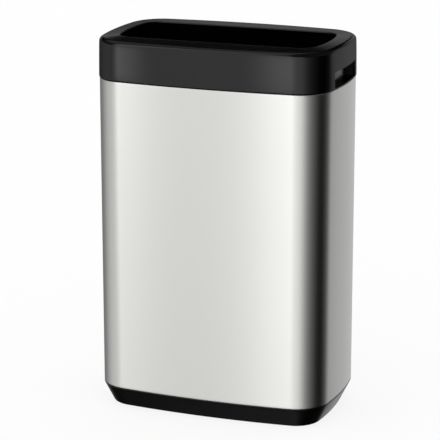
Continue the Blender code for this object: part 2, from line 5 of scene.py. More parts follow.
import bmesh
import bpy
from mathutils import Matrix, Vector


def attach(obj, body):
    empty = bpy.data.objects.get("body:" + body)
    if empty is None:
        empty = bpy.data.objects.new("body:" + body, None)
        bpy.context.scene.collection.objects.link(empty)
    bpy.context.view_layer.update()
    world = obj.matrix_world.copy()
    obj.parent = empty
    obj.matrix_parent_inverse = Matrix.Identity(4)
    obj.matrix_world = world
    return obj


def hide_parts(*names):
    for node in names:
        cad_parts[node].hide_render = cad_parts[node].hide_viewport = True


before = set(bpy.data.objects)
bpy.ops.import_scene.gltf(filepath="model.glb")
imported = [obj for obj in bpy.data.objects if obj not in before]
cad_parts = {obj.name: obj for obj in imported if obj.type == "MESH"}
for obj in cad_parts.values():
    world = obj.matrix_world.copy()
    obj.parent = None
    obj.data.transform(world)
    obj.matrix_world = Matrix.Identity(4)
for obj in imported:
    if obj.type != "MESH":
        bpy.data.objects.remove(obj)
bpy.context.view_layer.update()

# Base pan
# One black injection moulding: a deck with ribs below it, a skirt that slopes in to the floor and
# a low rim that locates the sleeve. The sleeve's flange is screwed down to the deck from below.

# steps along each arc of a plan, the angle up to which faces are shaded as one, and the distance
# within which points are merged
FRONT_STEPS = 24
CORNER_STEPS = 20
SIDE_STEPS = 12
SMOOTH = math.radians(32)
MERGE_DISTANCE = 0.000001


class Outline:
    """A plan with three tangent arcs a quarter: bowed front, round corner and bowed side."""

    def __init__(self, half_width, half_depth, corner, front_bow, side_bow):
        self.half_width = half_width
        self.half_depth = half_depth
        self.corner = corner
        self.front_radius = (half_width**2 + front_bow**2) / (2 * front_bow)
        self.side_radius = (half_depth**2 + side_bow**2) / (2 * side_bow)
        self.front_centre = Vector((0, self.front_radius - half_depth))
        self.side_centre = Vector((half_width - self.side_radius, 0))
        to_front, to_side = self.front_radius - corner, self.side_radius - corner
        across = self.side_centre - self.front_centre
        along = (to_front**2 - to_side**2 + across.length_squared) / (2 * across.length)
        aside = math.sqrt(to_front**2 - along**2)
        unit = across.normalized()
        middle = self.front_centre + unit * along
        offset = Vector((-unit.y, unit.x)) * aside
        self.corner_centre = max((middle + offset, middle - offset), key=lambda p: p.x - p.y)

    def side_at(self, y, inset=0.0):
        """How far the end wall stands from the middle at this depth."""
        return self.side_centre.x + math.sqrt((self.side_radius - inset) ** 2 - y**2)

    def front_at(self, x, inset=0.0):
        """How far the front or the back stands from the middle at this width."""
        return math.sqrt((self.front_radius - inset) ** 2 - x**2) - self.front_centre.y

    def loop(self, inset, height):
        """The whole plan drawn in by inset, as points at one height."""
        to_corner = self.corner_centre - self.front_centre
        from_side = self.corner_centre - self.side_centre
        front_end = math.atan2(to_corner.y, to_corner.x)
        side_start = math.atan2(from_side.y, from_side.x)
        runs = [
            (self.front_centre, self.front_radius, -math.pi / 2, front_end, FRONT_STEPS),
            (self.corner_centre, self.corner, front_end, side_start, CORNER_STEPS),
            (self.side_centre, self.side_radius, side_start, 0, SIDE_STEPS),
        ]
        quarter = [
            centre + Vector((math.cos(angle), math.sin(angle))) * (radius - inset)
            for centre, radius, start, end, steps in runs
            for angle in (start + (end - start) * step / steps for step in range(steps))
        ]
        quarter.append(Vector((self.half_width - inset, 0)))
        half = quarter + [Vector((p.x, -p.y)) for p in quarter[-2::-1]]
        whole = half + [Vector((-p.x, p.y)) for p in half[-2:0:-1]]
        return [Vector((p.x, p.y, height)) for p in whole]


def bend(inset, height, radius, start, end, steps=4):
    """Insets and heights round an edge; 180 degrees points outwards and 90 upwards."""
    angles = [math.radians(start + (end - start) * step / steps) for step in range(steps + 1)]
    return [(inset + radius * math.cos(a), height + radius * math.sin(a)) for a in angles]


def choose(*pieces):
    """Selects these pieces alone, with the first one active."""
    bpy.ops.object.select_all(action="DESELECT")
    for piece in pieces:
        piece.select_set(True)
    bpy.context.view_layer.objects.active = pieces[0]


def just_added(name):
    """Names the object that an operator has just added, and settles its place, turn and size."""
    piece = bpy.context.object
    piece.name = piece.data.name = name
    bpy.ops.object.transform_apply(location=True, rotation=True, scale=True)
    return piece


def wall(name, loops, closed=True):
    """A shell drawn out from a circle loop by loop, then joined to its start or capped."""
    bpy.ops.mesh.primitive_circle_add(vertices=len(loops[0]), fill_type="NOTHING" if closed else "NGON")
    piece = just_added(name)
    bpy.ops.object.mode_set(mode="EDIT")
    mesh = bmesh.from_edit_mesh(piece.data)
    place = mesh.verts.layers.int.new("place")
    for index, vertex in enumerate(mesh.verts):
        vertex[place] = index
        vertex.co = loops[0][index]
    for loop in loops[1:] + ([loops[0]] if closed else []):
        bpy.ops.mesh.extrude_edges_move()
        mesh = bmesh.from_edit_mesh(piece.data)
        place = mesh.verts.layers.int["place"]
        for vertex in mesh.verts:
            if vertex.select:
                vertex.co = loop[vertex[place]]
        bmesh.update_edit_mesh(piece.data)
    if not closed:
        bpy.ops.mesh.edge_face_add()
        bpy.ops.mesh.select_all(action="SELECT")
        bpy.ops.mesh.quads_convert_to_tris()
    bpy.ops.mesh.select_all(action="SELECT")
    bpy.ops.mesh.remove_doubles(threshold=MERGE_DISTANCE)
    bpy.ops.mesh.normals_make_consistent(inside=False)
    bpy.ops.object.mode_set(mode="OBJECT")
    piece.data.attributes.remove(piece.data.attributes["place"])
    return piece


def block(name, low, high):
    """A box between two corners."""
    size = Vector(high) - Vector(low)
    bpy.ops.mesh.primitive_cube_add(size=1, location=(Vector(high) + Vector(low)) / 2, scale=size)
    return just_added(name)


def drum(name, radius, low, high, spot, sides=32):
    """An upright cylinder at a spot on the plan."""
    bpy.ops.mesh.primitive_cylinder_add(
        vertices=sides, radius=radius, depth=high - low, location=(*spot, (low + high) / 2)
    )
    return just_added(name)


def combine(piece, tool, operation="DIFFERENCE"):
    """Cuts, trims or joins a piece with another one, which is used up."""
    modifier = piece.modifiers.new("combine", "BOOLEAN")
    modifier.operation = operation
    modifier.solver = "EXACT"
    modifier.object = tool
    choose(piece)
    bpy.ops.object.modifier_apply(modifier=modifier.name)
    bpy.data.objects.remove(tool)


def together(pieces):
    """One object out of several that don't touch each other."""
    choose(*pieces)
    bpy.ops.object.join()
    return pieces[0]


def finished(piece, finish, body, node, smooth=SMOOTH):
    """Smooths a piece, gives it its finish and puts it in place of its CAD node."""
    choose(piece)
    bpy.ops.object.shade_smooth_by_angle(angle=smooth)
    piece.data.materials.clear()
    piece.data.materials.append(finish.material)
    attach(piece, body)
    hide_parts(node)


class Flow:
    """One output of a node. Sums written with it add Math nodes to the same tree."""

    def __init__(self, tree, output):
        self.tree = tree
        self.output = output

    def beside(self, output):
        """Another output of the same node."""
        return Flow(self.tree, self.output.node.outputs[output])

    def __add__(self, other):
        return self.tree.maths("ADD", self, other)

    def __sub__(self, other):
        return self.tree.maths("SUBTRACT", self, other)

    def __rsub__(self, other):
        return self.tree.maths("SUBTRACT", other, self)

    def __mul__(self, other):
        return self.tree.maths("MULTIPLY", self, other)

    __radd__ = __add__
    __rmul__ = __mul__


class Tree:
    """The nodes of one finish, or of the studio."""

    def __init__(self, owner):
        owner.use_nodes = True
        self.nodes = owner.node_tree.nodes
        self.links = owner.node_tree.links

    def node(self, kind, settings=None, sockets=None, output=0):
        """A node with its settings, then the values or links of its sockets."""
        made = self.nodes.new(kind)
        for name, value in (settings or {}).items():
            setattr(made, name, value)
        self.feed(made, sockets or {})
        return Flow(self, made.outputs[output])

    def feed(self, node, sockets):
        """Links or sets sockets of a node."""
        for name, value in sockets.items():
            if isinstance(value, Flow):
                self.links.new(value.output, node.inputs[name])
            else:
                node.inputs[name].default_value = value

    def maths(self, operation, *terms):
        """A Math node on these terms."""
        return self.node("ShaderNodeMath", {"operation": operation}, dict(enumerate(terms)))

    def blend(self, value, start, end, first=0.0, last=1.0):
        """Goes smoothly from first to last while a value goes from start to end."""
        sockets = {"Value": value, "From Min": start, "From Max": end, "To Min": first, "To Max": last}
        return self.node("ShaderNodeMapRange", {"interpolation_type": "SMOOTHSTEP"}, sockets)

    def ramp(self, value, stops):
        """Grey levels at positions from 0 to 1, with straight slopes between them."""
        shown = self.node("ShaderNodeValToRGB", {}, {0: value})
        held = shown.output.node.color_ramp.elements
        for index, (position, level) in enumerate((stops[0], stops[-1], *stops[1:-1])):
            stop = held[index] if index < 2 else held.new(position)
            stop.position = position
            stop.color = (level, level, level, 1)
        return shown


class Finish(Tree):
    """A new material, with its shader and the place on the piece that its patterns read."""

    def __init__(self, name, colour, roughness, metallic=0.0, **fixed):
        self.material = bpy.data.materials.new(name)
        super().__init__(self.material)
        self.shader = self.nodes["Principled BSDF"]
        self.place = self.node("ShaderNodeTexCoord", output="Object")
        self.shade({"Base Color": (*colour, 1), "Roughness": roughness, "Metallic": metallic, **fixed})

    def shade(self, sockets):
        """Links or sets sockets of the shader."""
        self.feed(self.shader, sockets)

    def noise(self, stretch, scale, detail=2.0, rough=0.5):
        """Noise between 0 and 1 with the place stretched along each axis first."""
        place = self.node("ShaderNodeVectorMath", {"operation": "MULTIPLY"}, {0: self.place, 1: stretch})
        sockets = {"Vector": place, "Scale": scale, "Detail": detail, "Roughness": rough}
        return self.node("ShaderNodeTexNoise", {}, sockets)

    def bump(self, depth, height):
        """A normal for relief of this depth."""
        return self.node("ShaderNodeBump", {}, {"Strength": 1.0, "Distance": depth, "Height": height})

    def between(self, first, second, share):
        """A colour that goes from the first to the second with a share from 0 to 1."""
        sockets = {0: share, 6: (*first, 1), 7: (*second, 1)}
        return self.node("ShaderNodeMix", {"data_type": "RGBA"}, sockets, output=2)


def moulded_plastic(name, colour, roughness, grain, **fixed):
    """Moulded plastic with the fine grain of an etched mould and faint handling marks."""
    made = Finish(name, colour, roughness, **fixed)
    fine = made.noise((1, 1, 1), 1500, 1.0)
    marks = made.noise((1, 1, 1), 26, 4.0, 0.6)
    made.shade({"Normal": made.bump(grain, fine), "Roughness": roughness + (marks - 0.5) * 0.06})
    return made


# the sleeve's plan, which the base and the collar follow, and the gap left where pieces rest
BODY = Outline(half_width=0.207, half_depth=0.125, corner=0.060, front_bow=0.015, side_bow=0.016)
REST_GAP = 0.0003

base_plastic = moulded_plastic("base_plastic", (0.0015, 0.0015, 0.0016), 0.25, 0.000012)

deck_top, deck_low = 0.036, 0.033
rim_inset, rim_wall, rim_edge = 0.0308, 0.0025, 0.001
rim_top = deck_top + 0.0065
deck_edge = 0.0006
skirt_outside = [
    *bend(deck_edge, deck_top - deck_edge, deck_edge, 90, 180, 3),
    (0.0001, 0.0350), (0.0005, 0.0335), (0.0009, 0.0325), (0.0141, 0.0062), (0.0151, 0.0040),
    (0.0158, 0.0026), (0.0167, 0.0013), (0.0178, 0.0006),
]
skirt_inside = [(0.0204, 0.0006), (0.0182, 0.0050), (0.0039, deck_low)]
pan_sections = [
    (rim_inset + rim_wall, deck_top),
    *bend(rim_inset + rim_wall - rim_edge, rim_top - rim_edge, rim_edge, 0, 90, 2),
    *bend(rim_inset + rim_edge, rim_top - rim_edge, rim_edge, 90, 180, 2),
    (rim_inset, deck_top),
    (0.0030, deck_top),
    *skirt_outside,
    *skirt_inside,
]
base_pan = wall("base_pan_moulding", [BODY.loop(*section) for section in pan_sections], closed=False)

# the ribs cross under the deck and are trimmed to the room inside the skirt, which they bite into
room_sections = [(0.0172, 0.0050), (0.0026, deck_low + 0.0005)]
rib_room = wall("rib_room", [BODY.loop(*section) for section in room_sections], closed=False)
rib_half, rib_low, bite = 0.00125, 0.0066, 0.001
rib_columns = (-0.1354, -0.0677, 0, 0.0677, 0.1354)
rib_rows = (-0.0727, -0.0242, 0.0242, 0.0727)
rib_reach_x, rib_reach_y, rib_top = 0.2, 0.12, deck_low + bite
ribs = together([
    block("rib", (x - rib_half, -rib_reach_y, rib_low), (x + rib_half, rib_reach_y, rib_top))
    for x in rib_columns
])
cross_ribs = together([
    block("rib", (-rib_reach_x, y - rib_half, rib_low), (rib_reach_x, y + rib_half, rib_top))
    for y in rib_rows
])
combine(ribs, cross_ribs, "UNION")
combine(ribs, rib_room, "INTERSECT")
combine(base_pan, ribs, "UNION")

foot_spots = [(x, y) for x in (-0.150, 0.150) for y in (-0.070, 0.070)]
boss_radius, boss_low, socket_radius, socket_top = 0.009, 0.0035, 0.0043, 0.0162
foot_bosses = [drum("boss", boss_radius, boss_low, deck_low + bite, spot) for spot in foot_spots]
combine(base_pan, together(foot_bosses), "UNION")
combine(base_pan, together([drum("socket", socket_radius, 0, socket_top, spot) for spot in foot_spots]))

screw_x, end_screw_x, screw_hole, hole_sides = 0.095, 0.1825, 0.0024, 20
screw_y = BODY.front_at(screw_x, 0.0245)
screw_spots = [(x, y) for x in (-screw_x, screw_x) for y in (-screw_y, screw_y)]
screw_spots += [(-end_screw_x, 0), (end_screw_x, 0)]
screw_holes = [
    drum("hole", screw_hole, deck_low - 0.002, deck_top + 0.003, spot, hole_sides) for spot in screw_spots
]
combine(base_pan, together(screw_holes))
finished(base_pan, base_plastic, "bin", "base_pan")

# Sleeve
# One sheet of stainless steel, brushed round the body, flanged inwards at both ends and wrapped
# into a tube. Its two ends meet in a slit down the back, spot welded to a strip inside.

brushed_steel = Finish(
    "brushed_steel", (0.63, 0.63, 0.612), 0.30, 1.0, **{"Anisotropic": 0.55, "Anisotropic Rotation": 0.25}
)
lines = brushed_steel.noise((1, 1, 260), 14, 5.0, 0.7)
fine_lines = brushed_steel.noise((1, 1, 160), 55, 4.0, 0.7)
clouds = brushed_steel.noise((1, 1, 1), 7, 3.0, 0.5)
brushed_steel.shade({
    "Base Color": brushed_steel.between(
        (0.60, 0.60, 0.583), (0.66, 0.66, 0.641), lines * 0.5 + fine_lines * 0.5
    ),
    "Roughness": 0.27 + fine_lines * 0.06 + (clouds - 0.5) * 0.02,
    "Normal": brushed_steel.bump(0.0000018, lines + fine_lines),
})

sheet, sheet_bend = 0.0008, 0.001
low_flange, top_flange, top_lip = 0.030, 0.010, 0.008
sleeve_low, sleeve_top = deck_top + REST_GAP, 0.5707
# the two rings beside each bend keep the shading flat up to it
beside_bend, off_bend = 0.004, 0.012
sleeve_sections = [
    (low_flange, sleeve_low),
    (beside_bend, sleeve_low),
    *bend(sheet_bend, sleeve_low + sheet_bend, sheet_bend, 270, 180),
    (0, sleeve_low + beside_bend),
    (0, sleeve_low + off_bend),
    (0, sleeve_top - off_bend),
    (0, sleeve_top - beside_bend),
    *bend(sheet_bend, sleeve_top - sheet_bend, sheet_bend, 180, 90),
    (beside_bend, sleeve_top),
    (top_flange, sleeve_top),
    (top_flange, sleeve_top - top_lip),
    (top_flange - sheet, sleeve_top - top_lip),
    (top_flange - sheet, sleeve_top - sheet),
    (sheet_bend, sleeve_top - sheet),
    (sheet, sleeve_top - sheet_bend),
    (sheet, sleeve_low + sheet_bend),
    (sheet_bend, sleeve_low + sheet),
    (low_flange, sleeve_low + sheet),
]
sleeve = wall("sleeve_sheet", [BODY.loop(*section) for section in sleeve_sections])
slit_half, slit_from, slit_to, overrun = 0.00025, 0.09, 0.13, 0.002
slit_low, slit_high = sleeve_low - overrun, sleeve_top + overrun
combine(sleeve, block("slit", (-slit_half, slit_from, slit_low), (slit_half, slit_to, slit_high)))
flange_holes = [
    drum("hole", screw_hole, slit_low, sleeve_low + 0.003, spot, hole_sides) for spot in screw_spots
]
combine(sleeve, together(flange_holes))
finished(sleeve, brushed_steel, "bin", "steel_sleeve")

# Collar
# One black moulding that drops into the sleeve: an outer wall, a rim that falls slightly outwards,
# a throat round the mouth, and a skirt that plugs into the sleeve's top.

# a clear skin that returns nothing itself and takes most of what glances off at shallow angles
skin = {"Coat Weight": 1.0, "Coat IOR": 1.0, "Coat Tint": (0.76, 0.76, 0.76, 1)}
collar_plastic = moulded_plastic("collar_plastic", (0.0012, 0.0012, 0.0013), 0.11, 0.000003, **skin)

MOUTH = Outline(half_width=0.1767, half_depth=0.0785, corner=0.0275, front_bow=0.003, side_bow=0.011)
top, collar_low = 0.640, 0.571
shell, proud = 0.0025, 0.001
shoulder, lip, foot_bend = 0.0073, 0.0015, 0.0020
skirt_inset, skirt_draft, skirt_low = 0.0105, 0.0005, collar_low - 0.023
throat_draft, throat_low = 0.001, top - 0.073
outer_sections = [
    (0.004, collar_low),
    *bend(foot_bend - proud, collar_low + foot_bend, foot_bend, 270, 180, 4),
    (-proud, collar_low + 0.003),
    (-proud, collar_low + 0.010),
    (-proud * 0.4, top - shoulder - 0.012),
    (-proud * 0.1, top - shoulder - 0.003),
    *bend(shoulder, top - shoulder, shoulder, 180, 90, 8),
]
mouth_sections = [
    *bend(-lip, top - lip, lip, 90, 0, 5),
    (0, top - lip - 0.002),
    (throat_draft, throat_low),
    (throat_draft - shell, throat_low),
    (-shell, top - shell),
]
inner_sections = [
    *bend(shoulder, top - shoulder, shoulder - shell, 90, 180, 3),
    (shell - proud, collar_low + shell),
    (skirt_inset + shell, collar_low + shell),
    (skirt_inset + shell + skirt_draft, skirt_low),
    (skirt_inset + skirt_draft, skirt_low),
    (skirt_inset, collar_low),
]
rim_inner = MOUTH.loop(-lip - 0.0005, top)
rim_slope, rim_back = 0.055, 0.126
falls = [
    rim_slope * (outer - inner).length * (1 - max(0, outer.y / rim_back) ** 2)
    for outer, inner in zip(BODY.loop(shoulder, top), rim_inner)
]
fall_start, fall_depth = top - 0.030, 0.022


def settled(section):
    """The body's plan, sunk near the top as the rim falls: most where it is wide, never at the back."""
    return [
        point - Vector((0, 0, fall * min(1, max(0, (point.z - fall_start) / fall_depth))))
        for point, fall in zip(BODY.loop(*section), falls)
    ]


outer_loops = [settled(section) for section in outer_sections]
rim_loops = [[a.lerp(b, share) for a, b in zip(outer_loops[-1], rim_inner)] for share in (0.06, 0.92)]
mouth_loops = [MOUTH.loop(*section) for section in mouth_sections]
inner_loops = [settled(section) for section in inner_sections]
collar = wall("collar_moulding", [*outer_loops, *rim_loops, rim_inner, *mouth_loops, *inner_loops])

# the bosses that the clips are screwed up to stand out from the skirt
frame_level = 0.565
clip_x, clip_y, clip_half = 0.090, 0.088, 0.009
clip_spots = [(x, y) for x in (-clip_x, clip_x) for y in (-clip_y, clip_y)]
clip_boss_low, clip_boss_height, clip_boss_start = frame_level + 0.0055, 0.014, 0.005
skirt_y = BODY.front_at(clip_x + clip_half, skirt_inset + skirt_draft)
clip_bosses = []
for x, y in clip_spots:
    toward = math.copysign(1, y)
    near, far = sorted((y + toward * clip_boss_start, toward * skirt_y))
    low = (x - clip_half, near, clip_boss_low)
    high = (x + clip_half, far, clip_boss_low + clip_boss_height)
    clip_bosses.append(block("clip_boss", low, high))
combine(collar, together(clip_bosses), "UNION")

HAND_CORNER_STEPS = 8
HAND_EDGE_STEPS = 16


def hand_loop(across, depth, half, low, high, corner):
    """A round-cornered outline on the end wall, sunk by depth and bowed as the wall is."""
    points = []
    run = half - corner
    corners = [
        (run, high - corner, 0), (-run, high - corner, 90),
        (-run, low + corner, 180), (run, low + corner, 270),
    ]
    for y, z, start in corners:
        for step in range(HAND_CORNER_STEPS + 1):
            angle = math.radians(start + 90 * step / HAND_CORNER_STEPS)
            points.append((y + corner * math.cos(angle), z + corner * math.sin(angle)))
        if start in (0, 180):
            edge = points[-1][1]
            points += [(y - 2 * y * step / HAND_EDGE_STEPS, edge) for step in range(1, HAND_EDGE_STEPS)]
    return [Vector((across * BODY.side_at(y, depth), y, z)) for y, z in points]


# depths of the cut, and how far it swells outside to round the slot's edge
slot_stages = [(-0.0030, 0.0012), (-0.0011, 0.0007), (-0.0007, 0.0003), (-0.0002, 0.0), (shell, 0.0)]
slot_half, slot_low, slot_top, slot_edge = 0.056, 0.5739, 0.600, 0.003
for across in (-1, 1):
    cutter = wall("slot_cutter", [
        hand_loop(across, depth, slot_half + swell, slot_low - swell, slot_top + swell, slot_edge + swell)
        for depth, swell in slot_stages
    ], closed=False)
    combine(collar, cutter)
finished(collar, collar_plastic, "collar", "collar")

# Hand cups
# A black moulded tray glued behind each slot, standing on the ledge. It has a flat flange all
# round, a bowed back and a roof that stands above the slot, for the fingers to hook under.

# a thinner skin than the collar's, so that the tray's end catches a little light
thin_skin = skin | {"Coat Tint": (0.9, 0.9, 0.9, 1)}
cup_plastic = moulded_plastic("cup_plastic", (0.003, 0.003, 0.003), 0.18, 0.000003, **thin_skin)
cup_low, cup_roof, cup_corner, floor_cut = 0.5738, 0.603, 0.003, 0.008
# depth, half the length, and height over the finger room's roof
cup_outside = [
    (0.0023, 0.0600, 0.0025), (0.0043, 0.0600, 0.0025), (0.0048, 0.0594, 0.0025),
    (0.0052, 0.0586, 0.0025), (0.0136, 0.0482, 0.0025), (0.0143, 0.0472, 0.0023),
]
cup_inside = [
    (0.0, 0.0560, 0.0), (0.0100, 0.0460, 0.0), (0.0113, 0.0446, 0.0), (0.0118, 0.0428, -0.0018),
]
for side, across in (("left", -1), ("right", 1)):
    cup = wall(f"hand_cup_{side}_moulding", [
        hand_loop(across, depth, half, cup_low, cup_roof + over, cup_corner)
        for depth, half, over in cup_outside
    ], closed=False)
    finger_room = wall("finger_room", [
        hand_loop(across, depth, half, cup_low - floor_cut, cup_roof + over, cup_corner)
        for depth, half, over in cup_inside
    ], closed=False)
    combine(cup, finger_room)
    finished(cup, cup_plastic, "collar", f"hand_cup_{side}")

# Clips
# Four dark moulded clips screwed up into the bosses under the collar. The rear two are split
# rings that the wire turns in, and the front two open downwards and let it snap out.

clip_plastic = moulded_plastic("clip_plastic", (0.045, 0.045, 0.047), 0.38, 0.000008)
wire_radius, bore, ring = 0.0025, 0.0028, 0.0048
pad_start, pad_end, pad_low, pad_top = 0.0014, 0.0175, frame_level + 0.0012, frame_level + 0.0052
web_start, web_end, web_half, web_low = 0.0030, 0.0165, 0.001, frame_level - 0.0022
web_middle, web_tip, web_top = (web_start + web_end) / 2, pad_low + 0.0004, pad_top - 0.001
clip_screw_reach, head_room, clip_hole = 0.0125, 0.0042, 0.0018
mouth_half, clip_bevel = 0.0022, 0.0003
# how far the cutting tools run on, along the bin's width and across it
long_cut, short_cut = 0.02, 0.01


def rod(name, radius, low, high, y, z, sides=48):
    """A cylinder that lies along the bin's width."""
    bpy.ops.mesh.primitive_cylinder_add(
        vertices=sides, radius=radius, depth=high - low, location=((low + high) / 2, y, z),
        rotation=(0, math.pi / 2, 0),
    )
    return just_added(name)


for x, y in clip_spots:
    toward = math.copysign(1, y)
    end, side = ("pivot" if y > 0 else "catch"), ("left" if x < 0 else "right")
    screw_spot = (x, y + toward * clip_screw_reach)
    clip = rod(f"{end}_{side}_moulding", ring, x - clip_half, x + clip_half, y, frame_level)
    near, far = sorted((y + toward * pad_start, y + toward * pad_end))
    combine(clip, block("pad", (x - clip_half, near, pad_low), (x + clip_half, far, pad_top)), "UNION")
    near, far = sorted((y + toward * web_start, y + toward * web_end))
    web = block("web", (x - web_half, near, web_low), (x + web_half, far, web_top))
    bpy.ops.object.mode_set(mode="EDIT")
    mesh = bmesh.from_edit_mesh(web.data)
    for vertex in mesh.verts:
        if vertex.co.z < frame_level and abs(vertex.co.y) > clip_y + web_middle:
            vertex.co.z = web_tip
    bmesh.update_edit_mesh(web.data)
    bpy.ops.object.mode_set(mode="OBJECT")
    combine(web, drum("head_room", head_room, frame_level - short_cut, pad_low, screw_spot, 24))
    combine(clip, web, "UNION")
    combine(clip, rod("bore", bore, x - long_cut, x + long_cut, y, frame_level))
    if y > 0:
        low, high = (y - short_cut, frame_level - mouth_half), (y, frame_level + mouth_half)
    else:
        low, high = (y - bore, frame_level - short_cut), (y + bore, frame_level)
    combine(clip, block("mouth", (x - long_cut, *low), (x + long_cut, *high)))
    combine(clip, drum("hole", clip_hole, frame_level, frame_level + long_cut, screw_spot, hole_sides))
    edges = clip.modifiers.new("edges", "BEVEL")
    edges.width, edges.segments = clip_bevel, 2
    edges.limit_method, edges.angle_limit = "ANGLE", math.radians(45)
    bpy.ops.object.modifier_apply(modifier=edges.name)
    finished(clip, clip_plastic, "collar", f"frame_{end}_{side}")

# Screws
# Zinc-plated pan-head screws with a cross recess, their heads facing down: six hold the sleeve's
# flange to the deck, and four hold the clips.

zinc_screw = Finish("zinc_screw", (0.55, 0.55, 0.535), 0.34, 1.0)
spangle = zinc_screw.noise((1, 1, 1), 900, 3.0, 0.6)
zinc_screw.shade({
    "Base Color": zinc_screw.between((0.48, 0.485, 0.49), (0.60, 0.60, 0.575), spangle),
    "Roughness": 0.26 + spangle * 0.18,
})


def turned(name, profile, spot, sides=32):
    """A piece turned about an upright axis, from a list of radii and heights."""
    turns = [2 * math.pi * step / sides for step in range(sides)]
    x, y = spot
    return wall(
        name,
        [[Vector((x + r * math.cos(a), y + r * math.sin(a), z)) for a in turns] for r, z in profile],
        closed=False,
    )


def pan_screw(name, spot, seat, head, head_height, shank, length):
    """A screw seen from below: a domed head with a cross recess, and a threaded shank up to a point."""
    edge, thread_start = 0.0001, 0.0004
    core, tip, pitch = shank * 0.78, shank * 0.1, shank * 0.6
    rim_height = head_height * 0.35
    dome = [math.radians(90 * step / 6) for step in range(1, 7)]
    profile = [
        (head * math.sin(a), seat - rim_height - (head_height - rim_height) * math.cos(a)) for a in dome
    ]
    profile += [(head, seat - edge), (head - edge, seat), (shank, seat)]
    for turn in range(int((length - shank) / pitch)):
        level = seat + thread_start + turn * pitch
        profile += [(core, level), (shank, level + pitch / 2)]
    profile += [(core, seat + length - shank), (tip, seat + length)]
    screw = turned(name, profile, spot)
    low, high = seat - head_height * 1.3, seat - rim_height
    arm, slot = head * 0.55, head * 0.11
    x, y = spot
    cross = block("cross", (x - arm, y - slot, low), (x + arm, y + slot, high))
    combine(cross, block("cross", (x - slot, y - arm, low), (x + slot, y + arm, high)), "UNION")
    combine(screw, cross)
    return screw


for x, y in screw_spots:
    side = "left" if x < 0 else "right"
    end = "" if y == 0 else "front_" if y < 0 else "rear_"
    screw = pan_screw(
        f"deck_screw_{end}{side}", (x, y), deck_low - REST_GAP,
        head=0.0055, head_height=0.0030, shank=0.0021, length=0.0084,
    )
    finished(screw, zinc_screw, "bin", f"base_screw_{end}{side}")
for x, y in clip_spots:
    side, end = ("left" if x < 0 else "right"), ("front" if y < 0 else "rear")
    screw = pan_screw(
        f"clip_fixing_{end}_{side}", (x, y + math.copysign(clip_screw_reach, y)), pad_low - REST_GAP,
        head=0.0035, head_height=0.0022, shank=0.0015, length=0.0130,
    )
    finished(screw, zinc_screw, "collar", f"clip_screw_{end}_{side}")

# Feet
# Four soft rubber feet, each pushed by its stem into a boss under the deck. The underside is
# dished, so that only a ring of it grips the floor.

foot_rubber = moulded_plastic("foot_rubber", (0.018, 0.018, 0.018), 0.72, 0.00002)
foot_profile = [
    (0.0060, 0.0008), (0.0075, 0.0007), (0.0084, 0.0001), (0.0090, 0.0), (0.0106, 0.0), (0.0114, 0.0003),
    (0.0118, 0.0008), (0.0120, 0.0014), (0.0120, 0.0028), (0.0118, 0.0031), (0.0114, 0.0032),
    (0.0042, 0.0032), (0.0040, 0.0034), (0.0040, 0.0130), (0.0037, 0.0145), (0.0030, 0.0152),
]
for x, y in foot_spots:
    name = f"foot_{'front' if y < 0 else 'rear'}_{'left' if x < 0 else 'right'}"
    foot = turned(f"{name}_pad", foot_profile, (x, y), sides=48)
    finished(foot, foot_rubber, "bin", name)

# Seam strip
# A flat plated strip inside the back, spot welded across the slit. Each weld shows as a small
# round dimple with a heat-tinted edge.

plated_steel = Finish("plated_steel", (0.58, 0.58, 0.565), 0.33, 1.0)
rolled = plated_steel.noise((1, 1, 0.03), 260, 3.0, 0.6)
strip_x = plated_steel.node("ShaderNodeSeparateXYZ", {}, {0: plated_steel.place})
weld_pitch, weld_offset = 0.020, 0.008
along = plated_steel.maths("PINGPONG", strip_x.beside("Z"), weld_pitch)
aside = plated_steel.maths("ABSOLUTE", strip_x) - weld_offset
from_weld = plated_steel.maths("POWER", along * along + aside * aside, 0.5)
clear = plated_steel.blend(from_weld, 0.0016, 0.0032)
plated_steel.shade({
    "Base Color": plated_steel.between((0.30, 0.27, 0.24), (0.58, 0.58, 0.565), clear),
    "Roughness": 0.26 + rolled * 0.14,
    "Normal": plated_steel.bump(0.0002, clear),
})
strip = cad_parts["seam_strip"]
strip.data.materials.clear()
strip.data.materials.append(plated_steel.material)

# Bag frame
# One loop of drawn steel wire, bent round four corners, butt welded at the middle of its front
# and bright plated. It turns on its straight rear bar.

bright_wire = Finish("bright_wire", (0.62, 0.62, 0.605), 0.20, 1.0)
drawn = bright_wire.noise((0.15, 0.15, 1), 1400, 3.0, 0.6)
bright_wire.shade({"Roughness": 0.14 + drawn * 0.14, "Normal": bright_wire.bump(0.000004, drawn)})

half_x, half_y, corner = 0.180, 0.088, 0.045
run_x, run_y = half_x - corner, half_y - corner
weld_slope, weld_flat, weld_swell = 0.0010, 0.0012, 1.14
weld_half = weld_slope + weld_flat / 2
wire_merge = 0.00001
bpy.ops.mesh.primitive_circle_add(
    vertices=20, radius=wire_radius, location=(0, half_y, frame_level), rotation=(0, math.pi / 2, 0)
)
wire = just_added("bag_frame_wire")
bpy.ops.object.mode_set(mode="EDIT")
bpy.ops.mesh.select_all(action="SELECT")


def draw_wire(x, y, swell=1.0):
    """Draws the wire straight on, and swells or shrinks its end."""
    bpy.ops.mesh.extrude_edges_move(TRANSFORM_OT_translate={"value": (x, y, 0)})
    if swell != 1.0:
        ends = [v.co for v in bmesh.from_edit_mesh(wire.data).verts if v.select]
        middle = sum(ends, Vector()) / len(ends)
        bpy.ops.transform.resize(value=(swell,) * 3, center_override=middle)


def bend_wire(x, y):
    """Bends the wire a quarter turn about an upright axis."""
    bpy.ops.mesh.spin(steps=14, angle=math.pi / 2, center=(x, y, frame_level), axis=(0, 0, 1))


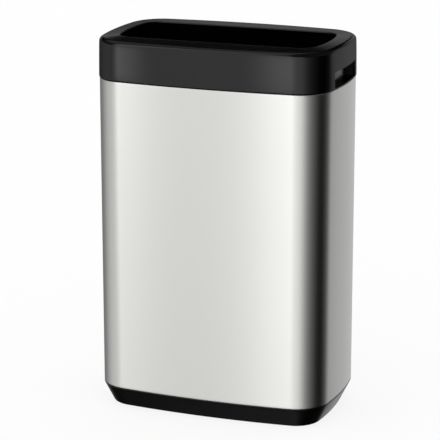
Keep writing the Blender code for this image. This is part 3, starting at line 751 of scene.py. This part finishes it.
draw_wire(run_x, 0)
bend_wire(run_x, run_y)
draw_wire(0, -2 * run_y)
bend_wire(run_x, -run_y)
draw_wire(-run_x + weld_half, 0)
draw_wire(-weld_slope, 0, weld_swell)
draw_wire(-weld_flat, 0)
draw_wire(-weld_slope, 0, 1 / weld_swell)
draw_wire(-run_x + weld_half, 0)
bend_wire(-run_x, -run_y)
draw_wire(0, 2 * run_y)
bend_wire(-run_x, run_y)
draw_wire(run_x, 0)
bpy.ops.mesh.select_all(action="SELECT")
bpy.ops.mesh.remove_doubles(threshold=wire_merge)
bpy.ops.mesh.normals_make_consistent(inside=False)
bpy.ops.object.mode_set(mode="OBJECT")
finished(wire, bright_wire, "bag_frame", "bag_frame", smooth=math.radians(60))

# Studio
# A pale floor in plain white light from all round. The steel and the plastics mirror a surround
# of other levels: bright in front, dark on the right and overhead, with two soft lights behind.

floor_radius, floor_level, own_glow = 14, -0.0005, 0.85
bpy.ops.mesh.primitive_circle_add(
    vertices=96, radius=floor_radius, fill_type="NGON", location=(0, 0, floor_level)
)
floor = just_added("studio_floor")
floor.visible_glossy = False
floor_paint = Finish("floor_paint", (0.96, 0.96, 0.96), 0.9, **{"Specular IOR Level": 0.0})
glow = floor_paint.node("ShaderNodeEmission", {}, {"Color": (1, 1, 1, 1), "Strength": 1.0})
seen = floor_paint.node("ShaderNodeLightPath")
lit = Flow(floor_paint, floor_paint.shader.outputs[0])
paint = floor_paint.node("ShaderNodeMixShader", {}, {0: seen * own_glow, 1: lit, 2: glow})
floor_paint.feed(floor_paint.nodes["Material Output"], {0: paint})
floor.data.materials.append(floor_paint.material)

world = bpy.data.worlds.new("studio")
bpy.context.scene.world = world
studio = Tree(world)
toward = studio.node("ShaderNodeTexCoord", output="Generated")
toward_x = studio.node("ShaderNodeSeparateXYZ", {}, {0: toward})
toward_z = toward_x.beside("Z")
azimuth = studio.maths("ARCTAN2", toward_x, toward_x.beside("Y") * -1.0) * (0.5 / math.pi) + 0.5


def by_azimuth(levels, highest=1.0):
    """Levels by azimuth in degrees, over the highest: 0 is in front, 90 on the right, 180 behind."""
    return studio.ramp(azimuth, [(angle / 360 + 0.5, level / highest) for angle, level in levels])


surround = by_azimuth([
    (-180, 0.75), (-168, 0.3), (-158, 0.1), (-148, 0.17), (-112, 0.27), (-89, 0.58), (-74, 0.75),
    (-43, 0.88), (-36, 1.32), (-31, 0.97), (-26, 1.0), (-20, 1.06), (-13, 0.96), (-8, 1.68), (5, 1.35),
    (21, 1.19), (29, 1.03), (38, 0.69), (50, 0.33), (66, 0.135), (86, 0.01), (106, 0.003),
    (126, 0.095), (150, 0.53), (172, 0.58), (180, 0.72),
], highest=2.5) * 2.7
# a lighter band just below the horizon, level with what the collar's walls mirror
band = by_azimuth([
    (-180, 0), (-55.8, 0), (-43.2, 1), (-33.1, 1), (-29.9, 0), (-14.4, 0), (-6.5, 0.47), (1.1, 0.33),
    (12.6, 0), (180, 0),
])
band_level = studio.blend(toward_z, -0.205, -0.19) * studio.blend(toward_z, -0.13, -0.09, 1.0, 0.4)
surround = surround * (1 + band * band_level * 1.05)
# above the horizon behind the bin, the surround gives way to the soft light that the rim mirrors
rear_light = by_azimuth([(-180, 0.6), (-169.2, 1), (-144, 1), (-108, 0), (162, 0), (180, 0.6)]) * 1.6
behind = by_azimuth([(-180, 1), (-115.2, 1), (-100.8, 0), (151.2, 0), (165.6, 1), (180, 1)])
rise = studio.blend(toward_z, 0.06, 0.24) * behind
surround = surround * (1 - rise) + rear_light * rise
# the height at which the surround ends
top_edge = by_azimuth([
    (-180, 0.28), (-166, 0.213), (-108, 0.213), (-90, 0.02), (-56, 0.05), (-44, 1.0), (-24, 0.97),
    (-16, 0.85), (-9, 0.42), (2, 0.26), (24, 0.2), (44, 0.04), (142, 0.02), (154, 0.28), (170, 0.33),
    (180, 0.33),
])
within = studio.blend(toward_z, top_edge * 0.95 - 0.01, top_edge * 1.05 + 0.008, 1.0, 0.0)
# above it is a faint gloom, with a soft light high over the left
over_left = by_azimuth([(-180, 0), (-169.2, 1), (-61.2, 1), (-46.8, 0), (180, 0)])
gloom = 0.12 - 0.10 * behind + over_left * studio.blend(toward_z, 0.40, 0.75) * 0.45
# below, it fades to the dark that the base's skirt mirrors
underfoot = studio.ramp(
    toward_z * 0.5 + 0.5, [(0, 0.165), (0.05, 0.165), (0.08, 0.05), (0.185, 0.05), (0.26, 1), (1, 1)]
)
mirrored = (surround * within + (1 - within) * gloom) * underfoot
# the camera and the matt surfaces meet plain white instead
path = studio.node("ShaderNodeLightPath")
plain = path + path.beside("Is Diffuse Ray")
studio.feed(studio.nodes["Background"], {"Color": mirrored * (1 - plain) + plain, "Strength": 1.0})

bearing, elevation, distance = math.radians(20.05), math.radians(15.34), 3.553
target = Vector((0, 0, 0.32))
back = Vector((
    math.sin(bearing) * math.cos(elevation),
    -math.cos(bearing) * math.cos(elevation),
    math.sin(elevation),
))
bpy.ops.object.camera_add(location=target + back * distance)
camera = bpy.context.object
camera.rotation_mode = "QUATERNION"
camera.rotation_quaternion = (-back).to_track_quat("-Z", "Y")
camera.data.sensor_width = 36
camera.data.lens = 170.45
camera.data.shift_x = -0.0182
camera.data.shift_y = -0.0007
bpy.context.scene.camera = camera
bpy.context.scene.view_settings.view_transform = "Standard"
